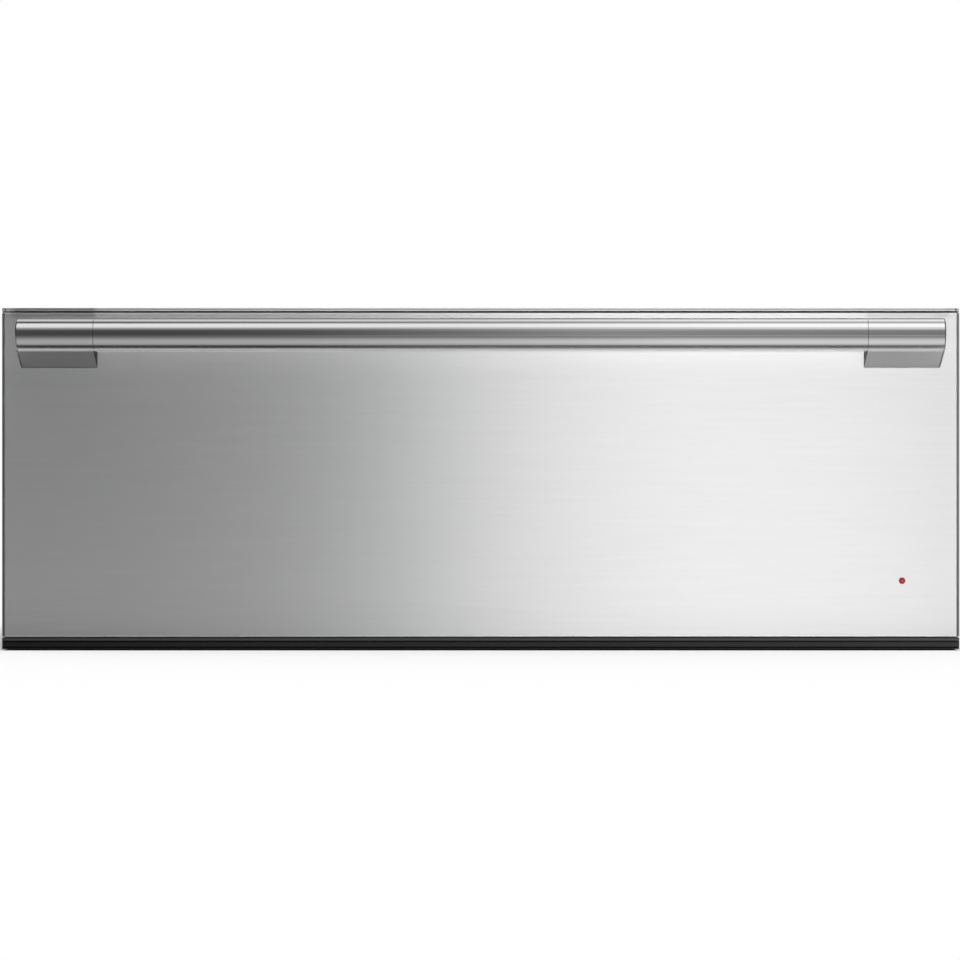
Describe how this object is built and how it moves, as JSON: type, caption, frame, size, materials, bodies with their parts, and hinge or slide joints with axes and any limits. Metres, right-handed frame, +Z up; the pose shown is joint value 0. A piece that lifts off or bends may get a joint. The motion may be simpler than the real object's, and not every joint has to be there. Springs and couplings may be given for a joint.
{
  "type": "warming drawer",
  "caption": "Free-standing countertop warming drawer: low steel casing with a full-width sliding heated drawer, tubular bar handle, vent plinth and red lamp.",
  "frame": {"origin": "centre of the bounding box at its lowest level, on the worktop that the rubber feet stand on", "axes": "+Z up; the drawer's front faces -Y and slides out along -Y; +X is to the right when looking at the front"},
  "size_m": [0.756, 0.6247, 0.2705],
  "materials": {
    "stainless_front": "satin",
    "stainless_case": "satin",
    "stainless_bar": "polished",
    "stainless_tub": "satin",
    "galvanised": "satin",
    "enamelled_steel": "satin",
    "aluminised": "satin",
    "zinc_rail": "satin",
    "ball_steel": "polished",
    "screw_steel": "satin",
    "laminated_steel": "satin",
    "trim_plastic": "satin",
    "gland_plastic": "matte",
    "foot_rubber": "matte",
    "seal_silicone": "matte",
    "mat_silicone": "matte",
    "mineral_wool": "matte",
    "plate_glass": "gloss",
    "red_lens": "gloss",
    "lamp_plastic": "gloss",
    "panel_plastic": "satin",
    "button_plastic": "satin",
    "element_sheath": "matte",
    "circuit_board": "satin",
    "terminal_plastic": "matte",
    "wire_sleeve": "satin",
    "coil_copper": "satin",
    "cutout_ceramic": "matte"
  },
  "bodies": {
    "casing": {"top_panel": "stainless_case", "side_panel_left": "stainless_case", "side_panel_right": "stainless_case", "base_pan": "galvanised", "rear_panel": "galvanised", "front_frame": "stainless_case", "vent_trim": "trim_plastic", "rubber_feet": "foot_rubber", "foot_screws": "screw_steel", "casing_screws": "screw_steel", "trim_screws": "screw_steel", "cable_gland": "gland_plastic", "oven_liner": "aluminised", "top_insulation": "mineral_wool", "bottom_insulation": "mineral_wool", "left_insulation": "mineral_wool", "right_insulation": "mineral_wool", "rear_insulation": "mineral_wool", "heating_element": "element_sheath", "heater_stands": "galvanised", "temperature_probe": "stainless_tub", "thermal_cutout": "cutout_ceramic", "fan_cover": "aluminised", "motor_core": "laminated_steel", "motor_coil": "coil_copper", "motor_bridges": "galvanised", "motor_bracket": "galvanised", "power_board": "circuit_board", "terminal_block": "terminal_plastic", "wiring_loom": "wire_sleeve", "control_panel": "panel_plastic", "control_board": "circuit_board", "indicator_led": "lamp_plastic", "outer_rail_right": "zinc_rail", "outer_rail_left": "zinc_rail"},
    "drawer": {"front_panel": "stainless_front", "front_inner_panel": "galvanised", "front_insulation": "mineral_wool", "drawer_seal": "seal_silicone", "indicator_lens": "red_lens", "handle_tube": "stainless_bar", "handle_bracket_right": "stainless_bar", "handle_bracket_left": "stainless_bar", "handle_backing_plates": "galvanised", "handle_screws": "screw_steel", "drawer_tub": "stainless_tub", "tub_screws": "screw_steel", "glass_plate": "plate_glass", "anti_slip_mat": "mat_silicone", "inner_rail_right": "zinc_rail", "inner_rail_left": "zinc_rail"},
    "middle_rails": {"middle_rail_right": "zinc_rail", "middle_rail_left": "zinc_rail"},
    "outer_cages": {"outer_ball_cages": "ball_steel"},
    "inner_cages": {"inner_ball_cages": "ball_steel"},
    "fan": {"fan_impeller": "aluminised", "fan_shaft": "screw_steel"},
    "power_key": {"power_button": "button_plastic"},
    "temperature_key": {"temperature_button": "button_plastic"},
    "timer_key": {"timer_button": "button_plastic"}
  },
  "joints": [
    {"name": "drawer_slide", "type": "slide", "parent": "casing", "child": "drawer", "axis": [0, -1, 0], "range_m": [0, 0.43]},
    {"name": "middle_rails_slide", "type": "slide", "parent": "casing", "child": "middle_rails", "axis": [0, -1, 0], "range_m": [0, 0.215]},
    {"name": "outer_cages_slide", "type": "slide", "parent": "casing", "child": "outer_cages", "axis": [0, -1, 0], "range_m": [0, 0.1075]},
    {"name": "inner_cages_slide", "type": "slide", "parent": "casing", "child": "inner_cages", "axis": [0, -1, 0], "range_m": [0, 0.3225]},
    {"name": "fan_spin", "type": "hinge", "parent": "casing", "child": "fan", "pos_m": [0, 0.27, 0.15], "axis": [0, 1, 0], "continuous": true},
    {"name": "power_press", "type": "slide", "parent": "casing", "child": "power_key", "axis": [0, 1, 0], "range_m": [0, 0.001], "stiffness_N_per_m": 300, "springref_m": -0.001},
    {"name": "temperature_press", "type": "slide", "parent": "casing", "child": "temperature_key", "axis": [0, 1, 0], "range_m": [0, 0.001], "stiffness_N_per_m": 300, "springref_m": -0.001},
    {"name": "timer_press", "type": "slide", "parent": "casing", "child": "timer_key", "axis": [0, 1, 0], "range_m": [0, 0.001], "stiffness_N_per_m": 300, "springref_m": -0.001}
  ],
  "couplings": [
    {"joint": "middle_rails_slide", "follows": "drawer_slide", "ratio": 0.5},
    {"joint": "outer_cages_slide", "follows": "drawer_slide", "ratio": 0.25},
    {"joint": "inner_cages_slide", "follows": "drawer_slide", "ratio": 0.75}
  ]
}
